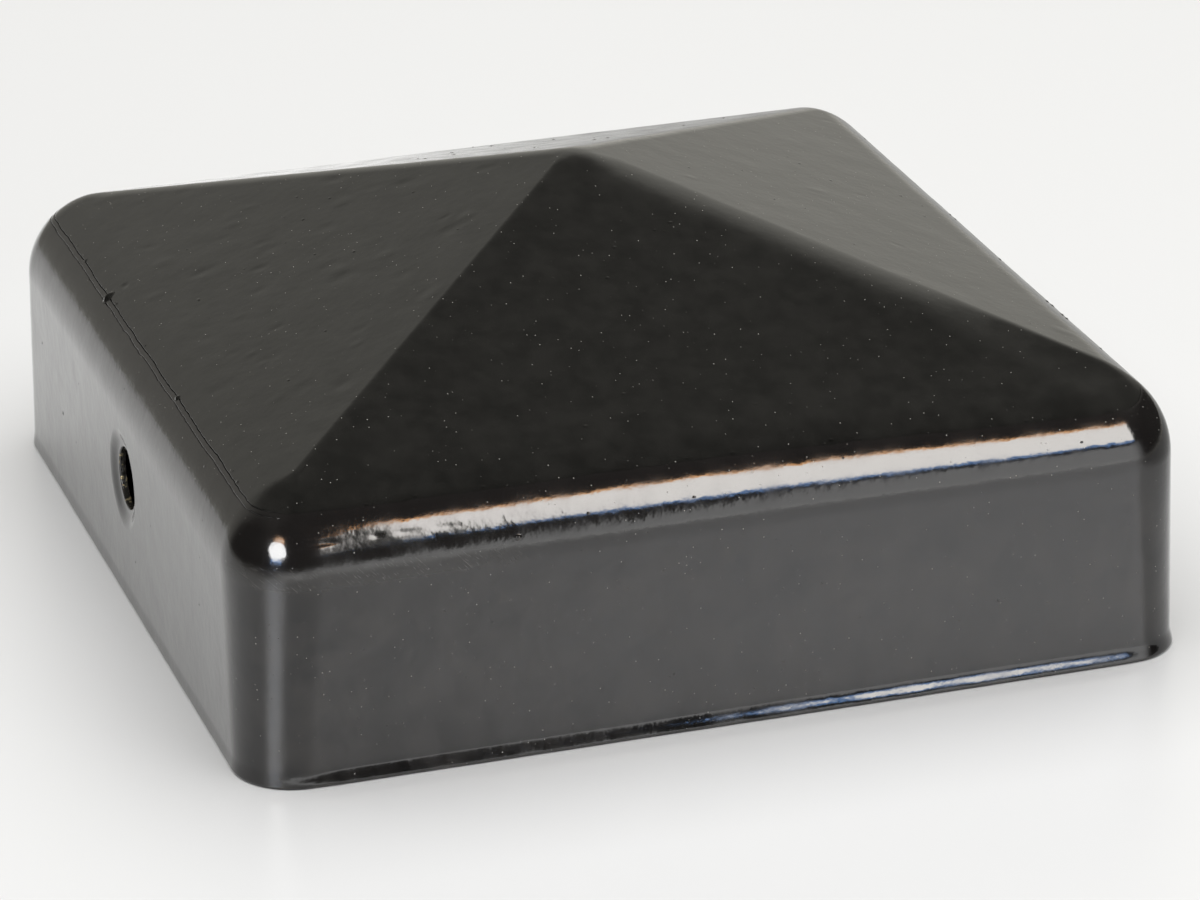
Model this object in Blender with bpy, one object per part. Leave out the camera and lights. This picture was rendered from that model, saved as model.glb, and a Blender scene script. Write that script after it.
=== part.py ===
"""Square pyramid cap for a 90 mm fence post, in coated sheet steel.

Metres, +Z up. The origin is the centre of the open underside, in the plane that the rim stands on.
The screw holes are in the -X and +X walls. Two pieces: a skirt frame and a pyramid panel, whose joint
runs round the middle of the shoulder.

A point of a cross-section is (inset, height): inset is how far it lies inside the outer face of the
wall, measured square to that wall. Every piece is a stack of rounded squares at such points.
"""

import math

import bmesh
import bpy

# Driving dimensions
CLEAR_WIDTH = 0.0910  # between opposite walls, for a post of 90 mm
SHEET = 0.0011  # steel with its coat
EDGE_HEIGHT = 0.0257  # where the planes of wall and pyramid would meet
PYRAMID_SLOPE = math.radians(18.9)
SHOULDER_RADIUS = 0.0086
RIM_CORNER_RADIUS = 0.0058  # of the upright corners, at the rim
TOP_CORNER_RADIUS = 0.0079  # of the upright corners, at the shoulder
HIP_RADIUS = 0.0016
APEX_RADIUS = 0.0074
LIP_REACH = 0.00045  # how far the rim turns out past the wall
LIP_HEIGHT = 0.0015
RIM_ROUNDING = 0.0002
SEAM_ANGLE = math.radians(45)  # how far the shoulder has turned up where the joint runs
GAP = 0.0003  # between the two pieces
LEDGE_RUN = 0.0015  # of the ledge up the slope, past the end of the shoulder's arc
JOGGLE = math.radians(14)  # of arc, in which the sheet steps down to the ledge
HOLE_RADIUS = 0.0031
HOLE_HEIGHT = 0.0129
DISH_RADIUS = 0.0047
DISH_DEPTH = 0.00045

# Fineness of the facets
CORNER_STEPS = 7
ARC_STEPS = 9
APEX_STEPS = 4
HOLE_STEPS = 40

# What follows from them
HALF_WIDTH = CLEAR_WIDTH / 2 + SHEET
FACE_ANGLE = math.pi / 2 - PYRAMID_SLOPE  # how far a pyramid face's normal is above the horizontal
ARC_HEIGHT = EDGE_HEIGHT - SHOULDER_RADIUS * math.tan(FACE_ANGLE / 2)
SHARP_APEX = EDGE_HEIGHT + HALF_WIDTH * math.tan(PYRAMID_SLOPE)
APEX_CENTRE = SHARP_APEX - APEX_RADIUS / math.cos(PYRAMID_SLOPE)
LEDGE_DEPTH = SHEET + GAP
CUTTER_REACH = 0.004

COAT_BLACK = (0.011, 0.011, 0.010, 1.0)
COAT_ROUGHNESS = 0.16


def clear_scene():
    """Remove every object of the open scene."""
    for obj in list(bpy.data.objects):
        bpy.data.objects.remove(obj, do_unlink=True)


def coat_material(name):
    """Gloss black powder coat."""
    material = bpy.data.materials.new(name)
    material.use_nodes = True
    shader = material.node_tree.nodes["Principled BSDF"]
    shader.inputs["Base Color"].default_value = COAT_BLACK
    shader.inputs["Roughness"].default_value = COAT_ROUGHNESS
    shader.inputs["Metallic"].default_value = 0.0
    material.diffuse_color = COAT_BLACK
    return material


def spread(start, end, steps):
    """Evenly spaced values from start to end, both included."""
    return [start + (end - start) * step / steps for step in range(steps + 1)]


def shoulder_point(angle, depth=0.0):
    """The sheet on the shoulder's arc, where its outer side faces up by angle, depth below that side."""
    radius = SHOULDER_RADIUS - depth
    return SHOULDER_RADIUS - radius * math.cos(angle), ARC_HEIGHT + radius * math.sin(angle)


def slope_point(run, depth):
    """A point on a pyramid face, run up the slope from the end of the shoulder's arc."""
    inset, height = shoulder_point(FACE_ANGLE, depth)
    return inset + run * math.cos(PYRAMID_SLOPE), height + run * math.sin(PYRAMID_SLOPE)


def apex_point(angle, depth):
    """A point on the rounded tip, where the sheet's outer side is angle away from facing straight up."""
    radius = APEX_RADIUS - depth
    return HALF_WIDTH - radius * math.sin(angle), APEX_CENTRE + radius * math.cos(angle)


def corner_radius(inset, height):
    """Corners open out up the wall, tighten over the shoulder and end in the hips."""
    share = min(height / EDGE_HEIGHT, 1.0)
    at_wall = RIM_CORNER_RADIUS + (TOP_CORNER_RADIUS - RIM_CORNER_RADIUS) * share
    return min(max(at_wall - inset, HIP_RADIUS), 0.9 * (HALF_WIDTH - inset))


def rounded_square(inset, height):
    """The square outline through one point of a cross-section, anticlockwise from above."""
    radius = corner_radius(inset, height)
    centre = HALF_WIDTH - inset - radius
    points = []
    for quarter, (side_x, side_y) in enumerate(((1, 1), (-1, 1), (-1, -1), (1, -1))):
        for turn in spread(quarter * math.pi / 2, (quarter + 1) * math.pi / 2, CORNER_STEPS):
            x = side_x * centre + radius * math.cos(turn)
            y = side_y * centre + radius * math.sin(turn)
            points.append((x, y, height))
    return points


def loft(name, outlines, wraps):
    """One closed body through the outlines. It wraps into a ring, or else ends in two flat caps."""
    shape = bmesh.new()
    rings = [[shape.verts.new(point) for point in outline] for outline in outlines]
    pairs = list(zip(rings, rings[1:]))
    if wraps:
        pairs.append((rings[-1], rings[0]))
    else:
        shape.faces.new(rings[0])
        shape.faces.new(rings[-1])
    for lower, upper in pairs:
        for here in range(len(lower)):
            after = (here + 1) % len(lower)
            shape.faces.new((lower[here], lower[after], upper[after], upper[here]))
    bmesh.ops.recalc_face_normals(shape, faces=shape.faces)
    mesh = bpy.data.meshes.new(name)
    shape.to_mesh(mesh)
    shape.free()
    mesh.shade_smooth()
    mesh.set_sharp_from_angle(angle=math.radians(30))
    obj = bpy.data.objects.new(name, mesh)
    bpy.context.scene.collection.objects.link(obj)
    return obj


def lip_points(depth):
    """The rim's lip from its foot up: it leaves the wall in an easy S."""
    points = []
    for share in spread(0.0, 1.0, 5):
        eased = share * share * (3 - 2 * share)
        points.append((depth - LIP_REACH * (1 - eased), RIM_ROUNDING + LIP_HEIGHT * share))
    return points


def skirt_section():
    """Up the outside to the joint, in over the ledge, and back down the inside."""
    joint = SEAM_ANGLE - GAP / 2 / SHOULDER_RADIUS
    outside = [(RIM_ROUNDING - LIP_REACH, 0.0)]
    outside += lip_points(0.0)
    outside += [shoulder_point(angle) for angle in spread(0.0, joint, ARC_STEPS)]
    ledge_top = [shoulder_point(angle, LEDGE_DEPTH) for angle in spread(joint, FACE_ANGLE, 3)]
    ledge_top.append(slope_point(LEDGE_RUN, LEDGE_DEPTH))
    ledge_foot = LEDGE_DEPTH + SHEET
    underside = [slope_point(LEDGE_RUN, ledge_foot)]
    underside += [shoulder_point(angle, ledge_foot) for angle in spread(FACE_ANGLE, joint, 3)]
    inside = [shoulder_point(angle, SHEET) for angle in spread(joint - JOGGLE, 0.0, 5)]
    inside += reversed(lip_points(SHEET))
    inside.append((SHEET - LIP_REACH, 0.0))
    return outside + ledge_top + underside + inside


def panel_section():
    """From the tip's underside out to the joint, over its edge, and back up to the tip."""
    joint = SEAM_ANGLE + GAP / 2 / SHOULDER_RADIUS
    tip_angles = spread(0.02, PYRAMID_SLOPE, APEX_STEPS)
    underside = [apex_point(angle, SHEET) for angle in tip_angles]
    underside += [shoulder_point(angle, SHEET) for angle in spread(FACE_ANGLE, joint, 4)]
    outside = [shoulder_point(angle) for angle in spread(joint, FACE_ANGLE, 5)]
    outside += [apex_point(angle, 0.0) for angle in reversed(tip_angles)]
    return underside + outside


def hole_cutter(side):
    """A plug in the shape of one screw hole and the dish round it, on the wall at -X or +X."""
    flare = CUTTER_REACH * (DISH_RADIUS - HOLE_RADIUS) / DISH_DEPTH
    steps = (
        (SHEET + CUTTER_REACH, HOLE_RADIUS),
        (DISH_DEPTH, HOLE_RADIUS),
        (-CUTTER_REACH, DISH_RADIUS + flare),
    )
    outlines = []
    for inset, radius in steps:
        x = side * (HALF_WIDTH - inset)
        turns = spread(0.0, 2 * math.pi, HOLE_STEPS)[:-1]
        outlines.append(
            [(x, radius * math.cos(turn), HOLE_HEIGHT + radius * math.sin(turn)) for turn in turns]
        )
    cutter = loft("screw_hole_cutter", outlines, wraps=False)
    cutter.hide_render = True
    cutter.display_type = "WIRE"
    return cutter


def make_skirt_frame():
    """Four walls, the lower half of the shoulder, the rim's lip and the ledge for the panel."""
    outlines = [rounded_square(*point) for point in skirt_section()]
    skirt = loft("skirt_frame", outlines, wraps=True)
    skirt.data.materials.append(coat_material("skirt_coat"))
    for side in (-1, 1):
        cut = skirt.modifiers.new("screw_hole", "BOOLEAN")
        cut.operation = "DIFFERENCE"
        cut.solver = "EXACT"
        cut.object = hole_cutter(side)
    return skirt


def make_pyramid_panel():
    """Four sloping faces, with the upper half of the shoulder as their edge."""
    outlines = [rounded_square(*point) for point in panel_section()]
    panel = loft("pyramid_panel", outlines, wraps=False)
    panel.data.materials.append(coat_material("panel_coat"))
    return panel


def main():
    clear_scene()
    make_skirt_frame()
    make_pyramid_panel()


main()
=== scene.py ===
"""The looks of the fence post cap: gloss black powder coat on a pressed skirt and a pyramid panel.

Metres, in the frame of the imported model: +Z up, origin at the centre of the open underside.
A point of a cross-section is (inset, height), with inset measured inwards from the outer face of the wall.
A skin is a grid of points: rings run round the cap, one above the other, and each follows a rounded square.
"""

import math
import random

import bpy
import numpy as np
from mathutils import Matrix, Quaternion, Vector, noise


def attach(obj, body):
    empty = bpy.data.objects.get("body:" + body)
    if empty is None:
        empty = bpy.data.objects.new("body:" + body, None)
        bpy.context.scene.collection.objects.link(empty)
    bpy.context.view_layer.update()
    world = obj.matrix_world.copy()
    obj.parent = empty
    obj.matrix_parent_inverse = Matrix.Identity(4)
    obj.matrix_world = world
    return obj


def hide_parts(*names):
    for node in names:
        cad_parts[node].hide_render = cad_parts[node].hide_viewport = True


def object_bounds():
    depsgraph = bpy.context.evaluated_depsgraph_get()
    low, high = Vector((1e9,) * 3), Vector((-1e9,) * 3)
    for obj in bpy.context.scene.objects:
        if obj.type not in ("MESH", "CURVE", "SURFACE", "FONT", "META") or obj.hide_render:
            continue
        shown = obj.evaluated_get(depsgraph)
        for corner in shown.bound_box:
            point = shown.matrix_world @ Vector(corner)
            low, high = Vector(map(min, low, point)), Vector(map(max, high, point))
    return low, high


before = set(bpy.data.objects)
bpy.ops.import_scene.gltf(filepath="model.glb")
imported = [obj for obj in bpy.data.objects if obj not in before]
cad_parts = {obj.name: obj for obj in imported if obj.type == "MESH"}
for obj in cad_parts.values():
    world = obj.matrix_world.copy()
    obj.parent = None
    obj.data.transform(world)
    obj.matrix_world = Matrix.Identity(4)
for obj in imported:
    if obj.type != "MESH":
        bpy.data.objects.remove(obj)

CAD_LOW, CAD_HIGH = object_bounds()

# The cap's dimensions, as in its CAD
LIP_REACH = 0.00045
HALF_WIDTH = CAD_HIGH.x - LIP_REACH
SHEET = 0.0011
EDGE_HEIGHT = 0.0257
PYRAMID_SLOPE = math.radians(18.9)
SHOULDER_RADIUS = 0.0086
RIM_CORNER_RADIUS = 0.0058
TOP_CORNER_RADIUS = 0.0079
HIP_RADII = (0.0016, 0.0016, 0.0007, 0.0042)  # of the hips to (+X, +Y), (-X, +Y), (-X, -Y) and (+X, -Y)
APEX_RADIUS = 0.0074
SEAM_ANGLE = math.radians(45)
GAP = 0.0003
LEDGE_RUN = 0.0015
JOGGLE = math.radians(14)
HOLE_RADIUS = 0.0031
HOLE_HEIGHT = 0.0129
DISH_RADIUS = 0.0047
DISH_DEPTH = 0.00045

FACE_ANGLE = math.pi / 2 - PYRAMID_SLOPE
ARC_HEIGHT = EDGE_HEIGHT - SHOULDER_RADIUS * math.tan(FACE_ANGLE / 2)
SHARP_APEX = EDGE_HEIGHT + HALF_WIDTH * math.tan(PYRAMID_SLOPE)
APEX_CENTRE = SHARP_APEX - APEX_RADIUS / math.cos(PYRAMID_SLOPE)
LEDGE_DEPTH = SHEET + GAP

# What only the finished surface has
CORNER_TIGHTNESS = (1.0, 1.0, 1.0, 0.88)  # of the corners' radii, in the order of the hips
RIM_ROUNDING = 0.0003
JOINT_ANGLE = SEAM_ANGLE + math.radians(1.5)  # the middle of the coated joint, between its two fine lines
JOINT_SPREAD = 0.00029  # from there to either line
LINE_HALF_WIDTH = 0.00003
FILLED_LINE = 0.30  # how much of a line's width is left along the front, where the coat runs over it
LINE_DEPTH = 0.00016
LINE_ROUNDING = 0.00010
JOINT_WOBBLE = 0.00012
WANDERS = ((190, 1.0), (900, 0.6), (2100, 0.35))  # fineness and amount of the wobble's three parts
NIB_SINK = 0.000004  # how deep a nib's edge is in the skin
NIB_ROOT = 0.0001  # how deep its lowest point is
LUMPS = ((0.0100, 0.000026), (0.0034, 0.000014))  # size and height of the coat's unevenness
FULL_LIP_REACH = 0.00070  # where the finished lip bends out most, along the front
FULL_LIP_HEIGHT = 0.0015
LIP_PLACES = (-0.0465, -0.0435, -0.0380, -0.0080, 0.0060, 0.0180, 0.0300, 0.0400, 0.0450)  # along X
LIP_SHARES = (0.20, 0.30, 0.62, 0.70, 0.81, 0.86, 0.85, 0.81, 0.35)  # of the full reach there, in front
SIDE_LIP_SHARES = (0.20, 0.35)  # at the -X wall, and at the +X and the back wall
LEFT_END = -0.0308  # in X, where the front's shoulder starts to round off
LEFT_END_LENGTH = 0.008
LEFT_END_DROP = 0.00027  # at that length
LEFT_END_ANGLES = (math.radians(20), math.radians(38))
TIGHTENING = 0.00122  # how much smaller the shoulder's radius gets towards the right end of the front

# Colours
DUST = (0.32, 0.31, 0.28, 1)
SKIRT_BLACKS = ((0.0036, 0.0034, 0.0035), (0.0148, 0.0131, 0.0122))  # darkest and lightest mottling
PANEL_BLACKS = ((0.0052, 0.0050, 0.0045), (0.0092, 0.0088, 0.0079))
BORE_COAT = (0.012, 0.011, 0.009, 1)
BORE_ZINC = (0.36, 0.30, 0.17, 1)
FLOOR_TONES = ((0.695, 0.695, 0.695, 1), (0.705, 0.705, 0.705, 1))

# The studio
CAMERA_UNIT = 0.094  # about the width over the rim
ROOM_TONE = 0.855
LOW_FRONT_LIGHT = 2.75
AWAY_FROM_CORNER_LAMP = (0.94, 0.34, 0.0)  # along the floor
BACK_LIGHT = (  # sine of the height above the horizon, and how bright the room behind is there
    (-0.15, 0.86), (-0.02, 0.48), (0.07, 0.44), (0.40, 0.46), (0.50, 0.40), (0.66, 0.19), (1.0, 0.13),
)

# Fineness of the meshes
CORNER_STEPS = 18
SIDE_STEPS = 220
RING_STEP = 0.0005
SHOULDER_STEP = 0.00018
BORE_STEPS = 96
SHARP_EDGE = math.radians(40)


def spread(start, end, steps):
    """Evenly spaced values from start to end, both included."""
    return [start + (end - start) * step / steps for step in range(steps + 1)]


def ease(share):
    """A smooth step from 0 to 1."""
    share = min(max(share, 0.0), 1.0)
    return share * share * (3 - 2 * share)


def ramp(values, start, end):
    """For a whole array: 0 up to start, 1 from end on, and straight between them."""
    return np.clip((values - start) / (end - start), 0, 1)


# Cross-sections


def shoulder_point(angle, depth=0.0):
    """The sheet on the shoulder's arc, where its outer side faces up by angle, depth below that side."""
    radius = SHOULDER_RADIUS - depth
    return SHOULDER_RADIUS - radius * math.cos(angle), ARC_HEIGHT + radius * math.sin(angle)


def slope_point(run, depth):
    """A point on a pyramid face, run up the slope from the end of the shoulder's arc."""
    inset, height = shoulder_point(FACE_ANGLE, depth)
    return inset + run * math.cos(PYRAMID_SLOPE), height + run * math.sin(PYRAMID_SLOPE)


def apex_point(angle, depth):
    """A point on the rounded tip, where the sheet's outer side is angle away from facing straight up."""
    radius = APEX_RADIUS - depth
    return HALF_WIDTH - radius * math.sin(angle), APEX_CENTRE + radius * math.cos(angle)


def on_shoulder(inset, height):
    """A section's point as an angle up the shoulder's arc and a depth below its outer side."""
    angle = math.atan2(height - ARC_HEIGHT, SHOULDER_RADIUS - inset)
    return angle, SHOULDER_RADIUS - math.hypot(SHOULDER_RADIUS - inset, height - ARC_HEIGHT)


def line_side(sign, middle):
    """One side of a fine line in the coat, from the surface down. sign is -1 on its lower side."""
    points = []
    for turn in spread(0.0, math.pi / 2, 5):
        off = LINE_HALF_WIDTH + LINE_ROUNDING * (1 - math.sin(turn))
        depth = LINE_ROUNDING * (1 - math.cos(turn))
        points.append(shoulder_point(middle + sign * off / SHOULDER_RADIUS, depth))
    points.append(shoulder_point(middle + sign * LINE_HALF_WIDTH / SHOULDER_RADIUS, LINE_DEPTH))
    return points


def shoulder_run(start, end):
    """Points along the shoulder's outer side, evenly spaced."""
    steps = max(1, math.ceil((end - start) * SHOULDER_RADIUS / SHOULDER_STEP))
    return [shoulder_point(angle) for angle in spread(start, end, steps)]


def rim_points():
    """The sheet's rounded lower edge, from its inner side to its outer side."""
    inner, outer = [], []
    for turn in spread(0.0, math.pi / 2, 5):
        fall, reach = RIM_ROUNDING * math.sin(turn), RIM_ROUNDING * math.cos(turn)
        inner.append((SHEET - FULL_LIP_REACH - RIM_ROUNDING + reach, RIM_ROUNDING - fall))
        outer.append((-FULL_LIP_REACH + RIM_ROUNDING - fall, RIM_ROUNDING - reach))
    return inner + outer[:-1]


def lip_flare(share):
    """The lip's reach at a share of its height. It leaves the wall softly and ends on a slant."""
    return 0.57 * (1 - share * share * (3 - 2 * share)) + 0.43 * (1 - share) ** 2


def lip_points(depth):
    """The rim's lip from its foot up."""
    points = []
    for share in spread(0.0, 1.0, 16):
        points.append((depth - FULL_LIP_REACH * lip_flare(share), RIM_ROUNDING + FULL_LIP_HEIGHT * share))
    return points


def skirt_section():
    """Round the rim, up the outside to the joint, in over the ledge, and back down the inside."""
    reach = (LINE_HALF_WIDTH + LINE_ROUNDING) / SHOULDER_RADIUS
    lower_line = JOINT_ANGLE - JOINT_SPREAD / SHOULDER_RADIUS
    upper_line = JOINT_ANGLE + JOINT_SPREAD / SHOULDER_RADIUS
    joint = upper_line - LINE_HALF_WIDTH / SHOULDER_RADIUS
    wall_foot = RIM_ROUNDING + FULL_LIP_HEIGHT
    wall_steps = round((ARC_HEIGHT - wall_foot) / RING_STEP)
    outside = rim_points() + lip_points(0.0)
    outside += [(0.0, height) for height in spread(wall_foot, ARC_HEIGHT, wall_steps)[1:]]
    outside += shoulder_run(0.0, lower_line - reach)[1:-1]
    outside += line_side(-1, lower_line) + line_side(1, lower_line)[::-1]
    outside += shoulder_run(lower_line + reach, upper_line - reach)[1:-1]
    outside += line_side(-1, upper_line)
    ledge_top = [shoulder_point(angle, LEDGE_DEPTH) for angle in spread(joint, FACE_ANGLE, 4)]
    ledge_top.append(slope_point(LEDGE_RUN, LEDGE_DEPTH))
    ledge_foot = LEDGE_DEPTH + SHEET
    underside = [slope_point(LEDGE_RUN, ledge_foot)]
    underside += [shoulder_point(angle, ledge_foot) for angle in spread(FACE_ANGLE, SEAM_ANGLE, 4)]
    inside = [shoulder_point(angle, SHEET) for angle in spread(SEAM_ANGLE - JOGGLE, 0.0, 6)]
    inside += [(SHEET, height) for height in spread(ARC_HEIGHT, wall_foot, 6)[1:-1]]
    inside += reversed(lip_points(SHEET)[1:])
    return outside + ledge_top + underside + inside


def panel_section():
    """From the tip's underside out to the joint, over its edge, and back up to the tip."""
    upper_line = JOINT_ANGLE + JOINT_SPREAD / SHOULDER_RADIUS
    joint = upper_line + LINE_HALF_WIDTH / SHOULDER_RADIUS
    shoulder = shoulder_run(joint + LINE_ROUNDING / SHOULDER_RADIUS, FACE_ANGLE)
    tip_angles = spread(0.012, PYRAMID_SLOPE, 8)
    foot, head = slope_point(0.0, 0.0), apex_point(PYRAMID_SLOPE, 0.0)
    slope_steps = round(math.dist(foot, head) / RING_STEP)
    insets = spread(foot[0], head[0], slope_steps)[1:-1]
    heights = spread(foot[1], head[1], slope_steps)[1:-1]
    underside = [apex_point(angle, SHEET) for angle in tip_angles]
    underside += [shoulder_point(angle, SHEET) for angle in spread(FACE_ANGLE, joint, 5)]
    outside = line_side(1, upper_line)[::-1] + shoulder[1:]
    outside += zip(insets, heights)
    outside += [apex_point(angle, 0.0) for angle in reversed(tip_angles)]
    return underside + outside


# Skins: grids of points over the whole cap


def corner_radius(inset, height, hip_radius, tightness):
    """Corners open out up the wall, tighten over the shoulder and end in the hips."""
    share = min(height / EDGE_HEIGHT, 1.0)
    at_wall = (RIM_CORNER_RADIUS + (TOP_CORNER_RADIUS - RIM_CORNER_RADIUS) * share) * tightness
    return min(max(at_wall - inset, hip_radius), 0.9 * (HALF_WIDTH - inset))


def outline(inset, height):
    """The rounded square through one point of a cross-section, and which way it faces all round."""
    radii = [corner_radius(inset, height, *corner) for corner in zip(HIP_RADII, CORNER_TIGHTNESS)]
    reach = HALF_WIDTH - inset
    places, facings = [], []
    for quarter, (side_x, side_y) in enumerate(((1, 1), (-1, 1), (-1, -1), (1, -1))):
        radius, next_radius = radii[quarter], radii[(quarter + 1) % 4]
        for turn in spread(quarter * math.pi / 2, (quarter + 1) * math.pi / 2, CORNER_STEPS):
            facing = (math.cos(turn), math.sin(turn), 0.0)
            x = side_x * (reach - radius) + radius * facing[0]
            y = side_y * (reach - radius) + radius * facing[1]
            places.append((x, y, height))
            facings.append(facing)
        corner_end = Vector(places[-1])
        along = Vector((-facing[1], facing[0], 0.0)) * ((2 * reach - radius - next_radius) / SIDE_STEPS)
        for step in range(1, SIDE_STEPS):
            places.append(tuple(corner_end + along * step))
            facings.append(facing)
    return places, facings


def skin(section):
    """The grid over a section: places, outward directions and surface normals, each (rings, around, 3)."""
    rings = [outline(*point) for point in section]
    places = np.array([ring[0] for ring in rings])
    outward = np.array([ring[1] for ring in rings])
    line = np.array(section)
    slope = np.roll(line, -1, axis=0) - np.roll(line, 1, axis=0)
    slope /= np.linalg.norm(slope, axis=1)[:, None]
    for ring, (inset, height) in enumerate(section):
        angle, depth = on_shoulder(inset, height)
        if 0 < angle < FACE_ANGLE and 0 < depth < 1.01 * LINE_DEPTH:
            slope[ring] = math.sin(angle), math.cos(angle)
    normals = outward * slope[:, 1][:, None, None] + np.array([0.0, 0.0, 1.0]) * slope[:, 0][:, None, None]
    return places, outward, normals


def wobble_joint(places, outward, section):
    """Let the joint's lines wander a little up and down the shoulder."""
    for ring, (inset, height) in enumerate(section):
        angle, depth = on_shoulder(inset, height)
        share = ease(2.0 - abs(angle - JOINT_ANGLE) * SHOULDER_RADIUS / (1.6 * JOINT_SPREAD))
        if inset > SHOULDER_RADIUS or depth > SHEET / 2 or share == 0:
            continue
        for here in range(places.shape[1]):
            place = Vector(places[ring, here])
            wander = sum(amount * noise.noise(place * fineness) for fineness, amount in WANDERS)
            shift = JOINT_WOBBLE * share * wander
            uphill = np.array([0.0, 0.0, math.cos(angle)]) - outward[ring, here] * math.sin(angle)
            places[ring, here] += uphill * shift


def fill_lines(places, outward, section):
    """Level the joint's lines out along the front, where the coat runs over them."""
    lines = [JOINT_ANGLE + sign * JOINT_SPREAD / SHOULDER_RADIUS for sign in (-1, 1)]
    reach = (LINE_HALF_WIDTH + 1.01 * LINE_ROUNDING) / SHOULDER_RADIUS
    front = ramp(-places[:, :, 1], 0.034, 0.038) * ramp(places[:, :, 0], -0.0455, -0.0415)
    for ring, (inset, height) in enumerate(section):
        angle, depth = on_shoulder(inset, height)
        line = min(lines, key=lambda line: abs(angle - line))
        if inset > SHOULDER_RADIUS or depth > 1.01 * LINE_DEPTH or abs(angle - line) > reach:
            continue
        normal = outward[ring] * math.cos(angle) + np.array([0.0, 0.0, math.sin(angle)])
        places[ring] += normal * (depth * front[ring])[:, None]
        if depth > 0.99 * LINE_DEPTH:
            uphill = np.array([0.0, 0.0, math.cos(angle)]) - outward[ring] * math.sin(angle)
            shift = (line - angle) * SHOULDER_RADIUS * (1 - FILLED_LINE) * front[ring]
            places[ring] += uphill * shift[:, None]


def weaken_lip(places, outward):
    """Give the lip its own reach along each wall. It hardly stands proud at -X."""
    shares = np.clip((places[:, :1, 2] - RIM_ROUNDING) / FULL_LIP_HEIGHT, 0, 1)
    flare = FULL_LIP_REACH * lip_flare(shares)
    x, y = places[0, :, 0], places[0, :, 1]
    along_front = np.interp(x, LIP_PLACES, LIP_SHARES)
    elsewhere = np.interp(x, (-0.0465, -0.0400), SIDE_LIP_SHARES)
    kept = np.where(y < -0.040, along_front, elsewhere)
    kept *= [1 + 0.03 * noise.noise(Vector((place[0] * 300, place[1] * 300, 0.0))) for place in places[0]]
    places -= outward * (flare * (1 - kept)[None, :])[:, :, None]


def tightening(x, facing_front=1.0):
    """0 on the left of the front, rising to 1 near the right end of its shoulder, which is tighter."""
    rise = ramp(x, -0.0030, 0.0400)
    fall = ramp(x, 0.0405, 0.0465)
    facing = np.clip(facing_front, 0, 1)
    return np.prod([value * value * (3 - 2 * value) for value in (rise, 1 - fall, facing)], axis=0)


def tightened(inset, height):
    """How a point of the front's section moves where the shoulder is tightest."""
    angle = min(max(on_shoulder(inset, height)[0], 0.0), FACE_ANGLE)
    amount = TIGHTENING * (1 - ease((inset - SHOULDER_RADIUS) / 0.014))
    return -amount * (1 - math.cos(angle)), -amount * math.sin(angle)


def tighten_shoulder(places, outward, section):
    """Draw the front's shoulder in to a smaller radius at its right end, and round off its upper left."""
    first, last = LEFT_END_ANGLES
    for ring, point in enumerate(section):
        further_in, further_up = tightened(*point)
        share = tightening(places[ring, :, 0], -outward[ring, :, 1])[:, None]
        places[ring] += share * (np.array([0.0, 0.0, further_up]) - outward[ring] * further_in)
        upper = ease((on_shoulder(*point)[0] - first) / (last - first))
        lower = ease((0.020 - point[0]) / 0.014)
        facing = ramp(-outward[ring, :, 1], 0.88, 1.0)
        into_corner = np.clip((LEFT_END - places[ring, :, 0]) / LEFT_END_LENGTH, 0, 1.18) * facing
        places[ring] -= outward[ring] * (LEFT_END_DROP * upper * lower * into_corner ** 2)[:, None]


def press_dents(places, dents):
    """Press shallow oval dents, each of (side, along, section point, facing, half sizes, depth)."""
    for side, along, section_point, facing_up, half_length, half_width, depth in dents:
        place = place_on_skin(side, along, section_point, facing_up)
        spot, across, uphill, normal = (np.array(vector) for vector in place)
        offsets = places - spot
        reach = (offsets @ across / half_length) ** 2 + (offsets @ uphill / half_width) ** 2
        near = (reach < 1) & (np.abs(offsets @ normal) < SHEET / 2)
        places[near] -= normal * (depth * (1 - reach[near]) ** 2)[:, None]


def skirt_dents():
    """A long shallow trough and a few pits near the front left end of the shoulder."""
    facing = math.radians(29)
    spots = (
        (-0.0385, 0.0026, 0.00042, 0.000040), (-0.0335, 0.0008, 0.00030, 0.000040),
        (-0.0308, 0.0015, 0.00026, 0.000038), (-0.0269, 0.0018, 0.00026, 0.000026),
        (-0.0200, 0.0034, 0.00022, 0.000009),
    )
    return [(0, along, shoulder_point(facing), facing, *sizes) for along, *sizes in spots]


def panel_dents():
    """Dimples of the coat on the faces, longer up the slope than across it."""
    chance = random.Random(5)
    pit = math.radians(62)
    dents = [(3, -0.0150, shoulder_point(pit), pit, 0.00060, 0.00055, 0.00008)]
    for side, count in ((0, 6), (1, 8), (2, 14), (3, 60)):
        for _ in range(count):
            run = 0.036 * (1 - math.sqrt(chance.random()))
            along = chance.uniform(-1, 1) * (0.040 - run)
            depth = chance.choice((-1, 1, 1)) * chance.uniform(0.000010, 0.000040)
            half_length = chance.uniform(0.0006, 0.0015)
            half_width = half_length * chance.uniform(0.8, 1.5)
            dents.append((side, along, slope_point(run, 0.0), FACE_ANGLE, half_length, half_width, depth))
    return dents


def away_from_hole(place):
    """0 around a screw hole, where the wall stays flat for the cut, and 1 away from it."""
    if abs(abs(place[0]) - HALF_WIDTH) > 2 * SHEET:
        return 1.0
    off = math.hypot(place[1], place[2] - HOLE_HEIGHT)
    return ease(off / DISH_RADIUS - 1.3)


def roughen(places, normals):
    """Give a skin the coat's lumps."""
    for ring in range(places.shape[0]):
        for here in range(places.shape[1]):
            place = Vector(places[ring, here])
            height = sum(amount * noise.noise(place / size) for size, amount in LUMPS)
            places[ring, here] += normals[ring, here] * (height * away_from_hole(place))


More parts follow.
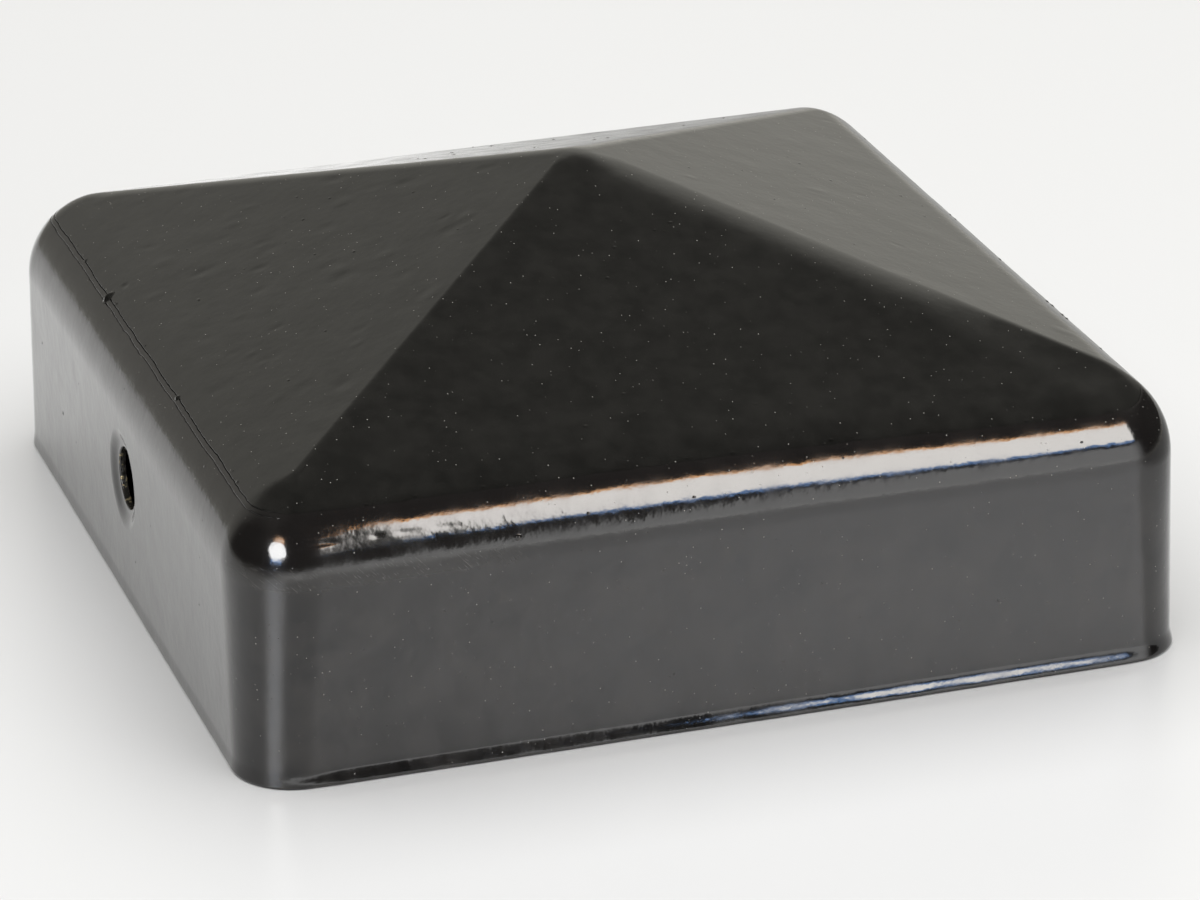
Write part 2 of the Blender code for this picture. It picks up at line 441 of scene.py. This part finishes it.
def mesh_object(name, points, faces):
    """A mesh object in the scene, smooth-shaded except at sharp edges."""
    mesh = bpy.data.meshes.new(name)
    mesh.from_pydata(points, [], faces)
    mesh.shade_smooth()
    mesh.set_sharp_from_angle(angle=SHARP_EDGE)
    obj = bpy.data.objects.new(name, mesh)
    bpy.context.scene.collection.objects.link(obj)
    return obj


def body_of_rings(name, places, wraps):
    """One closed body through the rings. It wraps into a ring, or else each end closes in a point."""
    rings, around = places.shape[:2]
    points = places.reshape(-1, 3).tolist()
    faces = []
    for ring in range(rings if wraps else rings - 1):
        lower, upper = ring * around, (ring + 1) % rings * around
        for here in range(around):
            after = (here + 1) % around
            faces.append((lower + here, lower + after, upper + after, upper + here))
    if not wraps:
        for ring in (0, rings - 1):
            points.append(places[ring].mean(axis=0).tolist())
            for here in range(around):
                ends = (ring * around + here, ring * around + (here + 1) % around)
                faces.append((*(ends if ring else ends[::-1]), len(points) - 1))
    return mesh_object(name, points, faces)


# Screw holes


def dish_profile():
    """From inside the wall out to the air: the bore, its rounded edge, and a dish that runs out flat."""
    edge = 0.00016
    profile = [(SHEET + 0.003, HOLE_RADIUS)]
    for turn in spread(0.0, math.pi / 2, 4):
        inset = DISH_DEPTH + edge * (1 - math.sin(turn))
        profile.append((inset, HOLE_RADIUS + edge * (1 - math.cos(turn))))
    start, rim = HOLE_RADIUS + edge, DISH_RADIUS + 0.0004
    for share in spread(0.0, 0.96, 10)[1:]:
        profile.append((DISH_DEPTH * (1 - ease(share)), start + (rim - start) * share))
    inset, radius = profile[-1]
    profile.append((inset - 0.0004, radius + 0.004))
    return profile


def hole_cutter(side):
    """A plug in the shape of the dished hole in the wall at -X or +X."""
    rings = []
    for inset, radius in dish_profile():
        turns = spread(0.0, 2 * math.pi, BORE_STEPS)[:-1]
        x = side * (HALF_WIDTH - inset)
        rings.append([(x, side * radius * math.cos(t), HOLE_HEIGHT + radius * math.sin(t)) for t in turns])
    cutter = body_of_rings("hole_cutter", np.array(rings), wraps=False)
    cutter.hide_render = True
    return cutter


def cut_holes(obj):
    """Cut both screw holes, and keep the result as the piece's own mesh."""
    cutters = [hole_cutter(side) for side in (-1, 1)]
    for cutter in cutters:
        cut = obj.modifiers.new("hole", "BOOLEAN")
        cut.operation = "DIFFERENCE"
        cut.solver = "EXACT"
        cut.object = cutter
    shape = obj.evaluated_get(bpy.context.evaluated_depsgraph_get())
    mesh = bpy.data.meshes.new_from_object(shape)
    obj.modifiers.clear()
    obj.data = mesh
    mesh.shade_smooth()
    mesh.set_sharp_from_angle(angle=SHARP_EDGE)
    for cutter in cutters:
        bpy.data.objects.remove(cutter, do_unlink=True)


def coat_bores(obj, material):
    """Give the bores their own finish, where the coat is thin on the cut edge."""
    obj.data.materials.append(material)
    for face in obj.data.polygons:
        off = math.hypot(face.center.y, face.center.z - HOLE_HEIGHT)
        inset = HALF_WIDTH - abs(face.center.x)
        if off < HOLE_RADIUS + 0.0001 and DISH_DEPTH < inset < SHEET:
            face.material_index = 1


# The coat's nibs


def place_on_skin(side, along, section_point, facing_up):
    """A spot on the outer skin of one of the four sides, and its directions: across, uphill, normal."""
    turn = Matrix.Rotation(side * math.pi / 2, 3, "Z")
    inset, height = section_point
    across = Vector((1, 0, 0))
    normal = Vector((0, -math.cos(facing_up), math.sin(facing_up)))
    uphill = normal.cross(across)
    if side == 0:
        further_in, further_up = tightened(inset, height)
        share = float(tightening(along))
        inset, height = inset + share * further_in, height + share * further_up
    spot = Vector((along, inset - HALF_WIDTH, height))
    return turn @ spot, turn @ across, turn @ uphill, turn @ normal


def dome(place, radius, height, stretch):
    """Points and faces of a nib: a bump that runs out level into the skin, with a closed underside."""
    spot, across, uphill, normal = place
    around = 14
    points, faces = [spot + normal * height], []
    shares = (0.22, 0.45, 0.68, 0.88, 1.0)
    for share in shares:
        rise = height * (1 - share * share) ** 2
        for step in range(around):
            turn = 2 * math.pi * step / around
            sideways = across * (math.cos(turn) * radius * stretch * share)
            out = sideways + uphill * (math.sin(turn) * radius * share)
            points.append(spot + out + normal * (rise - NIB_SINK))
    points.append(spot - normal * NIB_ROOT)
    for step in range(around):
        after = (step + 1) % around
        faces.append((0, 1 + step, 1 + after))
        for ring in range(len(shares) - 1):
            lower, upper = 1 + ring * around, 1 + (ring + 1) * around
            faces.append((lower + step, upper + step, upper + after, lower + after))
        last = 1 + (len(shares) - 1) * around
        faces.append((last + step, len(points) - 1, last + after))
    return points, faces


def nib_piece(name, nibs):
    """One mesh of nibs, each of (side, along, section point, facing, radius, height, stretch)."""
    points, faces = [], []
    for side, along, section_point, facing_up, radius, height, stretch in nibs:
        place = place_on_skin(side, along, section_point, facing_up)
        new_points, new_faces = dome(place, radius, height, stretch)
        faces += [tuple(len(points) + corner for corner in face) for face in new_faces]
        points += new_points
    return mesh_object(name, points, faces)


def skirt_nibs():
    """Nibs on the walls and the lower half of the shoulder."""
    chance = random.Random(7)
    nibs = []
    for side in range(4):
        for _ in range(14):
            along = chance.uniform(-0.036, 0.036)
            size = chance.uniform(0.00010, 0.00024)
            height = chance.uniform(0.004, ARC_HEIGHT)
            if math.hypot(along, height - HOLE_HEIGHT) > 0.008:
                stretch = chance.uniform(0.8, 1.6)
                nibs.append((side, along, (0.0, height), 0.0, size, size * 0.22, stretch))
        for _ in range(5):
            angle = math.radians(chance.uniform(4, 40))
            size = chance.uniform(0.00010, 0.00020)
            along = chance.uniform(-0.036, 0.036)
            stretch = chance.uniform(0.8, 1.6)
            nibs.append((side, along, shoulder_point(angle), angle, size, size * 0.25, stretch))
    blob = math.radians(16)
    nibs.append((0, -0.0203, shoulder_point(blob), blob, 0.00036, 0.00016, 1.2))
    return nib_piece("skirt_nibs", nibs)


def panel_nibs():
    """Nibs along the joint and scattered over the four faces."""
    chance = random.Random(11)
    line = JOINT_ANGLE + JOINT_SPREAD / SHOULDER_RADIUS
    nibs = [
        (3, -0.0154, shoulder_point(line), line, 0.00085, 0.00036, 0.8),
        (3, 0.0127, shoulder_point(line), line, 0.00038, 0.00018, 1.3),
    ]
    for side in range(4):
        for _ in range(9):
            angle = line + math.radians(chance.uniform(0.8, 3))
            size = chance.uniform(0.00012, 0.00026)
            along = chance.uniform(-0.036, 0.036)
            stretch = chance.uniform(0.8, 1.7)
            nibs.append((side, along, shoulder_point(angle), angle, size, size * 0.3, stretch))
        for _ in range(16):
            run = chance.uniform(0.0, 0.030)
            along = chance.uniform(-1, 1) * (0.036 - run)
            size = chance.uniform(0.00010, 0.00024)
            stretch = chance.uniform(0.8, 1.8)
            nibs.append((side, along, slope_point(run, 0.0), FACE_ANGLE, size, size * 0.2, stretch))
    return nib_piece("panel_nibs", nibs)


# Materials


def new_material(name):
    """A material with nodes. Returns it with its tree and its shader."""
    material = bpy.data.materials.new(name)
    material.use_nodes = True
    return material, material.node_tree, material.node_tree.nodes["Principled BSDF"]


def add(tree, kind, inputs=(), **settings):
    """A node of that kind. inputs maps a socket to a value, or to another node's output to link."""
    node = tree.nodes.new(kind)
    for name, value in settings.items():
        setattr(node, name, value)
    for socket, value in dict(inputs).items():
        if isinstance(value, bpy.types.NodeSocket):
            tree.links.new(value, node.inputs[socket])
        else:
            node.inputs[socket].default_value = value
    return node


def remap(tree, value, low, high, to_low=0.0, to_high=1.0, kind="SMOOTHSTEP"):
    """A value moved from one range to another, and held at its ends."""
    inputs = {0: value, 1: low, 2: high, 3: to_low, 4: to_high}
    return add(tree, "ShaderNodeMapRange", inputs, interpolation_type=kind).outputs[0]


def noise_at(tree, where, size, detail=2.0):
    """Noise with features of about that size, from 0 to 1."""
    inputs = {"Vector": where, "Scale": 1 / size, "Detail": detail, "Roughness": 0.55}
    return add(tree, "ShaderNodeTexNoise", inputs).outputs["Fac"]


def total(tree, first, second, factor=1.0):
    """first plus second times factor."""
    inputs = {0: second, 1: factor, 2: first}
    return add(tree, "ShaderNodeMath", inputs, operation="MULTIPLY_ADD").outputs[0]


def product(tree, first, second):
    """first times second."""
    return add(tree, "ShaderNodeMath", {0: first, 1: second}, operation="MULTIPLY").outputs[0]


def specks(tree, where, spacing, radius):
    """Small round specks of varied strength, up to 1, and 0 between them."""
    inputs = {"Vector": where, "Scale": 1 / spacing, "Randomness": 1.0}
    cells = add(tree, "ShaderNodeTexVoronoi", inputs, feature="F1").outputs
    spots = remap(tree, cells["Distance"], radius / spacing, 0.4 * radius / spacing)
    chance = add(tree, "ShaderNodeSeparateColor", {"Color": cells["Color"]}).outputs["Red"]
    return product(tree, spots, remap(tree, chance, 0.35, 0.95))


def hairlines(tree, where, turn, size, share):
    """1 on short fine scratches that are long in X turned by turn, over about that share of the surface."""
    inputs = {"Vector": where, "Rotation": turn, "Scale": size}
    along = add(tree, "ShaderNodeMapping", inputs, vector_type="TEXTURE").outputs[0]
    found = add(tree, "ShaderNodeTexNoise", {"Vector": along, "Scale": 1.0, "Detail": 1.0}).outputs["Fac"]
    return remap(tree, found, 0.78 - share, 0.80)


def rubbed_corner(tree, where):
    """1 on the shoulder's front left end, where it was rubbed, and 0 elsewhere."""
    place = add(tree, "ShaderNodeSeparateXYZ", {0: where}).outputs
    off = add(tree, "ShaderNodeMath", {0: place["Z"], 1: 0.0206}, operation="SUBTRACT").outputs[0]
    off = add(tree, "ShaderNodeMath", {0: off}, operation="ABSOLUTE").outputs[0]
    mask = remap(tree, place["X"], -0.0150, -0.0280)
    mask = product(tree, mask, remap(tree, place["Y"], -0.0380, -0.0430))
    return product(tree, mask, remap(tree, off, 0.0015, 0.0006))


def coat_material(name, rubbed, dark, light):
    """Gloss black powder coat, mottled from dark to light, with orange peel, dust and scratches.

    rubbed is for the skirt: strokes on its front left shoulder, and no mottling above the walls.
    """
    material, tree, shader = new_material(name)
    where = add(tree, "ShaderNodeTexCoord").outputs["Object"]
    peel = noise_at(tree, where, 0.0011)
    grain = noise_at(tree, where, 0.00030, 1.0)
    cloud = noise_at(tree, where, 0.0030, 1.5)
    dust = specks(tree, where, 0.0007, 0.000070)
    scratches = hairlines(tree, where, (0.5, 0.2, 0.9), (0.0014, 0.00006, 0.00006), 0.06)
    pale = dust
    if rubbed:
        strokes = hairlines(tree, where, (0.0, 0.85, 0.3), (0.0008, 0.003, 0.00007), 0.18)
        strokes = product(tree, total(tree, strokes, 0.25), rubbed_corner(tree, where))
        scratches = total(tree, scratches, strokes, 1.8)
        pale = total(tree, dust, strokes, 0.11)

    relief = total(tree, peel, grain, 0.12)
    relief = total(tree, relief, dust, 0.6)
    relief = total(tree, relief, scratches, -0.15)
    bump = add(tree, "ShaderNodeBump", {"Strength": 1.0, "Distance": 0.000016, "Height": relief})
    tree.links.new(bump.outputs["Normal"], shader.inputs["Normal"])

    gloss = remap(tree, cloud, 0.3, 0.7, 0.08, 0.15)
    gloss = total(tree, gloss, dust, 0.5)
    gloss = total(tree, gloss, scratches, 0.15)
    tree.links.new(gloss, shader.inputs["Roughness"])

    patches = remap(tree, total(tree, cloud, peel, 0.5), 0.55, 0.95, kind="LINEAR")
    if rubbed:
        above_rim = add(tree, "ShaderNodeSeparateXYZ", {0: where}).outputs["Z"]
        walls = remap(tree, above_rim, 0.0205, 0.0165)
        patches = add(tree, "ShaderNodeMix", {0: walls, 2: 0.5, 3: patches}).outputs[0]
    black = add(tree, "ShaderNodeMix", {"Factor": patches}, data_type="RGBA")
    black.inputs["A"].default_value = (*dark, 1)
    black.inputs["B"].default_value = (*light, 1)
    dusty = add(tree, "ShaderNodeMix", {"Factor": pale}, data_type="RGBA")
    tree.links.new(black.outputs["Result"], dusty.inputs["A"])
    dusty.inputs["B"].default_value = DUST
    tree.links.new(dusty.outputs["Result"], shader.inputs["Base Color"])
    shader.inputs["IOR"].default_value = 1.5
    return material


def bore_material():
    """The cut edge in a screw hole: zinc with a thin, crinkled coat."""
    material, tree, shader = new_material("bore_edge")
    where = add(tree, "ShaderNodeTexCoord").outputs["Object"]
    crinkle = noise_at(tree, where, 0.0005, 3.0)
    bare = remap(tree, crinkle, 0.57, 0.66)
    colour = add(tree, "ShaderNodeMix", {"Factor": bare}, data_type="RGBA")
    colour.inputs["A"].default_value = BORE_COAT
    colour.inputs["B"].default_value = BORE_ZINC
    tree.links.new(colour.outputs["Result"], shader.inputs["Base Color"])
    tree.links.new(remap(tree, crinkle, 0.3, 0.7, 0.22, 0.45), shader.inputs["Roughness"])
    tree.links.new(product(tree, bare, 0.8), shader.inputs["Metallic"])
    bump = add(tree, "ShaderNodeBump", {"Strength": 1.0, "Distance": 0.00008, "Height": crinkle})
    tree.links.new(bump.outputs["Normal"], shader.inputs["Normal"])
    return material


def floor_material():
    """Plain pale satin floor that fades out into the pale room.

    What the gloss coat mirrors of it is lighter on the left, towards the corner lamp, and darker behind to
    the right, where that lamp leaves a shadow.
    """
    material, tree, shader = new_material("pale_floor")
    where = add(tree, "ShaderNodeTexCoord").outputs["Object"]
    cloud = noise_at(tree, where, 0.3, 2.0)
    colour = add(tree, "ShaderNodeMix", {"Factor": cloud}, data_type="RGBA")
    colour.inputs["A"].default_value = FLOOR_TONES[0]
    colour.inputs["B"].default_value = FLOOR_TONES[1]
    inputs = {0: where, 1: AWAY_FROM_CORNER_LAMP}
    away_from_lamp = add(tree, "ShaderNodeVectorMath", inputs, operation="DOT_PRODUCT").outputs["Value"]
    mirrored = remap(tree, away_from_lamp, 0.045, 0.10, 1.0, 0.42)
    glossy = add(tree, "ShaderNodeLightPath").outputs["Is Glossy Ray"]
    tone = add(tree, "ShaderNodeMix", {"Factor": glossy}, data_type="RGBA")
    tree.links.new(colour.outputs["Result"], tone.inputs["A"])
    tree.links.new(mirrored, tone.inputs["B"])
    tree.links.new(tone.outputs["Result"], shader.inputs["Base Color"])
    shader.inputs["Roughness"].default_value = 0.335
    shader.inputs["IOR"].default_value = 1.8
    away = add(tree, "ShaderNodeVectorMath", {0: where}, operation="LENGTH").outputs["Value"]
    tree.links.new(remap(tree, away, 0.60, 0.20), shader.inputs["Alpha"])
    return material


# Pieces


def finish_piece(obj, material, slot, *nodes):
    """Coat a piece, hang it under the root body, and hide any CAD parts that it stands for."""
    obj.data.materials.clear()
    obj.data.materials.append(material)
    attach(obj, "root")
    if nodes:
        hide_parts(*nodes)


def make_cap():
    """The skirt frame and the pyramid panel, each with its nibs. Returns the panel and its nibs."""
    skirt_coat = coat_material("skirt_coat", True, *SKIRT_BLACKS)
    panel_coat = coat_material("panel_coat", False, *PANEL_BLACKS)

    section = skirt_section()
    places, outward, normals = skin(section)
    weaken_lip(places, outward)
    fill_lines(places, outward, section)
    wobble_joint(places, outward, section)
    tighten_shoulder(places, outward, section)
    press_dents(places, skirt_dents())
    roughen(places, normals)
    skirt = body_of_rings("skirt_shell", places, wraps=True)
    cut_holes(skirt)
    finish_piece(skirt, skirt_coat, "skirt_coat", "skirt_frame")
    coat_bores(skirt, bore_material())

    section = panel_section()
    places, outward, normals = skin(section)
    fill_lines(places, outward, section)
    wobble_joint(places, outward, section)
    tighten_shoulder(places, outward, section)
    press_dents(places, panel_dents())
    roughen(places, normals)
    panel = body_of_rings("panel_shell", places, wraps=False)
    finish_piece(panel, panel_coat, "panel_coat", "pyramid_panel")

    finish_piece(skirt_nibs(), skirt_coat, "skirt_coat")
    nibs = panel_nibs()
    finish_piece(nibs, panel_coat, "panel_coat")
    return panel, nibs


# Studio


def make_floor():
    """A pale floor under the rim."""
    size = 0.65
    corners = [(-size, -size, 0), (size, -size, 0), (size, size, 0), (-size, size, 0)]
    floor = mesh_object("floor", corners, [(0, 1, 2, 3)])
    floor.data.materials.append(floor_material())


def make_world():
    """A room that is pale behind, bright low in front, and dark overhead and to the sides."""
    world = bpy.data.worlds.new("studio")
    world.use_nodes = True
    bpy.context.scene.world = world
    tree = world.node_tree
    direction = add(tree, "ShaderNodeTexCoord").outputs["Generated"]
    parts = add(tree, "ShaderNodeSeparateXYZ", {0: direction}).outputs
    across, along, height = parts["X"], parts["Y"], parts["Z"]

    room = add(tree, "ShaderNodeValToRGB", {0: remap(tree, height, -1, 1, kind="LINEAR")})
    elements = room.color_ramp.elements
    while len(elements) < len(BACK_LIGHT):
        elements.new(0.5)
    for element, (sine, light) in zip(elements, BACK_LIGHT):
        element.position = (sine + 1) / 2
        element.color = (light, light * 0.975, light * 0.885, 1)

    above = remap(tree, height, -0.06, 0.02)
    rightwards = remap(tree, across, 0.05, 0.40, 1.0, 1.30)
    sides = add(tree, "ShaderNodeMath", {0: across}, operation="ABSOLUTE").outputs[0]
    sides = product(tree, remap(tree, sides, 0.60, 0.82), above)
    front = product(tree, remap(tree, along, -0.05, -0.45), above)
    low_edge = remap(tree, across, 0.235, 0.285, 0.06, 0.15)
    low_edge = total(tree, low_edge, remap(tree, across, 0.27, 0.34), 0.16)
    below_edge = remap(tree, total(tree, height, low_edge, -1.0), 0.020, -0.020)
    low_front = product(tree, remap(tree, along, -0.55, -0.85), below_edge)

    shade = product(tree, total(tree, 1.0, sides, -0.93), total(tree, 1.0, front, -0.90))
    shade = product(tree, shade, rightwards)
    lit = add(tree, "ShaderNodeMix", {"Factor": 1.0}, data_type="RGBA", blend_type="MULTIPLY")
    tree.links.new(room.outputs[0], lit.inputs["A"])
    tree.links.new(shade, lit.inputs["B"])
    glow = add(tree, "ShaderNodeMix", {"Factor": 1.0}, data_type="RGBA", blend_type="ADD")
    tree.links.new(lit.outputs["Result"], glow.inputs["A"])
    tree.links.new(product(tree, low_front, LOW_FRONT_LIGHT), glow.inputs["B"])

    to_camera = add(tree, "ShaderNodeLightPath").outputs["Is Camera Ray"]
    seen = add(tree, "ShaderNodeMix", {"Factor": to_camera}, data_type="RGBA")
    tree.links.new(glow.outputs["Result"], seen.inputs["A"])
    seen.inputs["B"].default_value = (ROOM_TONE, ROOM_TONE, ROOM_TONE, 1)
    tree.links.new(seen.outputs["Result"], tree.nodes["Background"].inputs["Color"])


def make_softbox(
    name, aim, direction, distance, width, height, radiance,
    lift=0.0, colour=(1, 1, 1), shape="RECTANGLE", lean=0.0,
):
    """A light that faces back along direction to aim. radiance is how bright it looks, lift moves it up."""
    light = bpy.data.lights.new(name, "AREA")
    light.shape = shape
    light.size, light.size_y = width, height
    area = width * height * (math.pi / 4 if shape == "ELLIPSE" else 1)
    light.energy = radiance * math.pi * area
    light.color = colour
    obj = bpy.data.objects.new(name, light)
    back = Vector(direction).normalized()
    turn = back.to_track_quat("Z", "Y") @ Quaternion((0, 0, 1), -lean)
    obj.rotation_mode = "QUATERNION"
    obj.rotation_quaternion = turn
    obj.location = Vector(aim) + back * distance + turn @ Vector((0, lift, 0))
    obj.visible_camera = False
    bpy.context.scene.collection.objects.link(obj)
    return obj


def keep_off(lights, pieces):
    """Let lights pass some pieces by, so that their flat faces never mirror a whole softbox."""
    shaded = bpy.data.collections.new("shaded")
    for obj in pieces:
        shaded.objects.link(obj)
    for member in shaded.collection_objects:
        member.light_linking.link_state = "EXCLUDE"
    for light in lights:
        light.light_linking.receiver_collection = shaded


def make_lights(top_pieces):
    """A softbox in front and a round one on the left, for the gloss, and a wide one overhead."""
    shoulder = (0.0, -0.043, 0.024)
    corner = (-HALF_WIDTH + 0.004, -HALF_WIDTH + 0.004, 0.023)
    front, left = (0.4135, -0.722, 0.575), (-0.68, -0.56, 0.46)
    lean = math.radians(5)
    white, warm, cool = (1.0, 0.965, 0.925), (1.0, 0.50, 0.20), (0.22, 0.48, 1.0)
    gloss_lights = [
        make_softbox("front_softbox", shoulder, front, 1.02, 0.456, 0.40, 15.5, 0.0, white, lean=lean),
        make_softbox("front_warm_edge", shoulder, front, 1.02, 0.456, 0.04, 13.0, 0.22, warm, lean=lean),
        make_softbox("front_cool_edge", shoulder, front, 1.02, 0.456, 0.05, 6.5, -0.225, cool, lean=lean),
        make_softbox("corner_softbox", corner, left, 1.0, 0.46, 0.38, 23.5, shape="ELLIPSE"),
        make_softbox("corner_warm_edge", corner, left, 1.0, 0.30, 0.06, 12.0, 0.21, warm),
        make_softbox("corner_cool_edge", corner, left, 1.0, 0.30, 0.06, 10.0, -0.21, cool),
    ]
    for light in gloss_lights:
        light.visible_diffuse = False
    overhead = make_softbox("overhead", (0, -0.25, 0), (0, 0, 1), 1.2, 2.6, 2.6, 2.16)
    overhead.visible_glossy = False
    keep_off(gloss_lights[:3], top_pieces)


def make_camera():
    """Seen from the front, 18 degrees round to the left and 23 degrees up, with a long lens."""
    azimuth, elevation, roll = -0.3131, 0.3989, -0.0123
    distance = 5.7204 * CAMERA_UNIT
    target = Vector((-0.0123, -0.1234, 0.15)) * CAMERA_UNIT
    level = math.cos(elevation)
    back = Vector((math.sin(azimuth) * level, -math.cos(azimuth) * level, math.sin(elevation)))
    right = Vector((math.cos(azimuth), math.sin(azimuth), 0))
    up = back.cross(right)
    turned_right = right * math.cos(roll) + up * math.sin(roll)
    turned_up = up * math.cos(roll) - right * math.sin(roll)
    camera = bpy.data.objects.new("camera", bpy.data.cameras.new("camera"))
    camera.data.sensor_width = 36.0
    camera.data.lens = 164.0
    camera.data.clip_start = 0.01
    camera.matrix_world = Matrix.Translation(target + back * distance) @ Matrix(
        (turned_right, turned_up, back)
    ).transposed().to_4x4()
    bpy.context.scene.collection.objects.link(camera)
    bpy.context.scene.camera = camera


bpy.context.scene.view_settings.view_transform = "Standard"
top_pieces = make_cap()
make_floor()
make_world()
make_lights(top_pieces)
make_camera()
